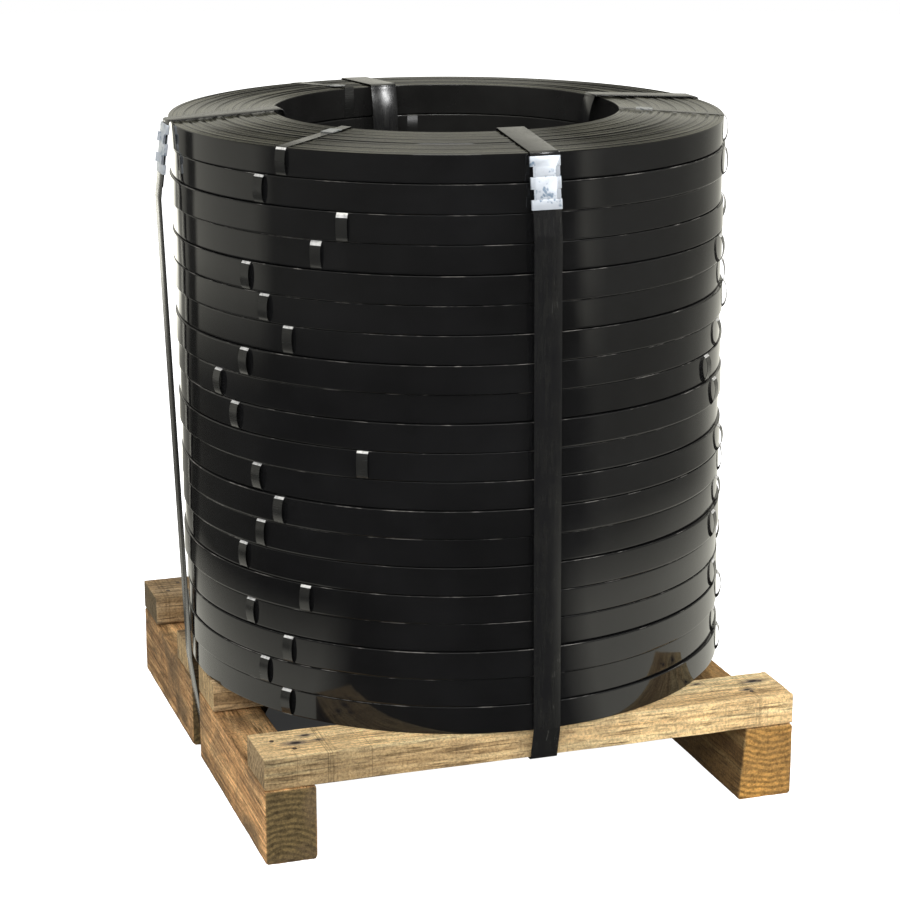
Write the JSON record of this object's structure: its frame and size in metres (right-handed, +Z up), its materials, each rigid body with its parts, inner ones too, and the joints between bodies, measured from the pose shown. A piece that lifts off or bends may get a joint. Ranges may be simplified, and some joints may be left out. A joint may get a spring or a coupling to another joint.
{
  "type": "strapped stack of steel strapping coils on a timber skid",
  "caption": "Ribbon wound coils of black steel strapping stacked flat on a timber skid and held down by straps with notched seals, for lifting by fork.",
  "frame": {"origin": "on the floor under the axis of the coils, which is the middle of the load's outline seen from above", "axes": "+Z up along the axis of the coils; +X along the deck beams; -Y is the front, where a deck beam and the first strap seal face"},
  "size_m": [0.6806, 0.6812, 0.7889],
  "materials": {
    "black_strapping": "glossy black painted and waxed steel strapping, edges grey",
    "band_steel": "satin black narrow steel band",
    "band_seal_steel": "crimped plain steel clip",
    "strap_steel": "satin black steel strap with light scuffs",
    "zinc_seal": "bright zinc coated seal with bluish mottling",
    "deck_timber": "weathered rough sawn softwood",
    "runner_timber": "weathered rough sawn softwood, darker end grain"
  },
  "bodies": {
    "root": {"runner_left": "runner_timber", "runner_right": "runner_timber", "deck_beam_front": "deck_timber", "deck_beam_middle_front": "deck_timber", "deck_beam_middle_back": "deck_timber", "deck_beam_back": "deck_timber", "coil_01": "black_strapping", "coil_02": "black_strapping", "coil_03": "black_strapping", "coil_04": "black_strapping", "coil_05": "black_strapping", "coil_06": "black_strapping", "coil_07": "black_strapping", "coil_08": "black_strapping", "coil_09": "black_strapping", "coil_10": "black_strapping", "coil_11": "black_strapping", "coil_12": "black_strapping", "coil_13": "black_strapping", "coil_14": "black_strapping", "coil_15": "black_strapping", "coil_16": "black_strapping", "coil_17": "black_strapping", "coil_18": "black_strapping", "coil_19": "black_strapping", "coil_20": "black_strapping", "coil_bands_01": "band_steel", "coil_bands_02": "band_steel", "coil_bands_03": "band_steel", "coil_bands_04": "band_steel", "coil_bands_05": "band_steel", "coil_bands_06": "band_steel", "coil_bands_07": "band_steel", "coil_bands_08": "band_steel", "coil_bands_09": "band_steel", "coil_bands_10": "band_steel", "coil_bands_11": "band_steel", "coil_bands_12": "band_steel", "coil_bands_13": "band_steel", "coil_bands_14": "band_steel", "coil_bands_15": "band_steel", "coil_bands_16": "band_steel", "coil_bands_17": "band_steel", "coil_bands_18": "band_steel", "coil_bands_19": "band_steel", "coil_bands_20": "band_steel", "band_seals": "band_seal_steel", "strap_front": "strap_steel", "strap_seal_front": "zinc_seal", "strap_back": "strap_steel", "strap_seal_back": "zinc_seal", "strap_left": "strap_steel", "strap_seal_left": "zinc_seal", "strap_right": "strap_steel", "strap_seal_right": "zinc_seal"}
  },
  "joints": []
}
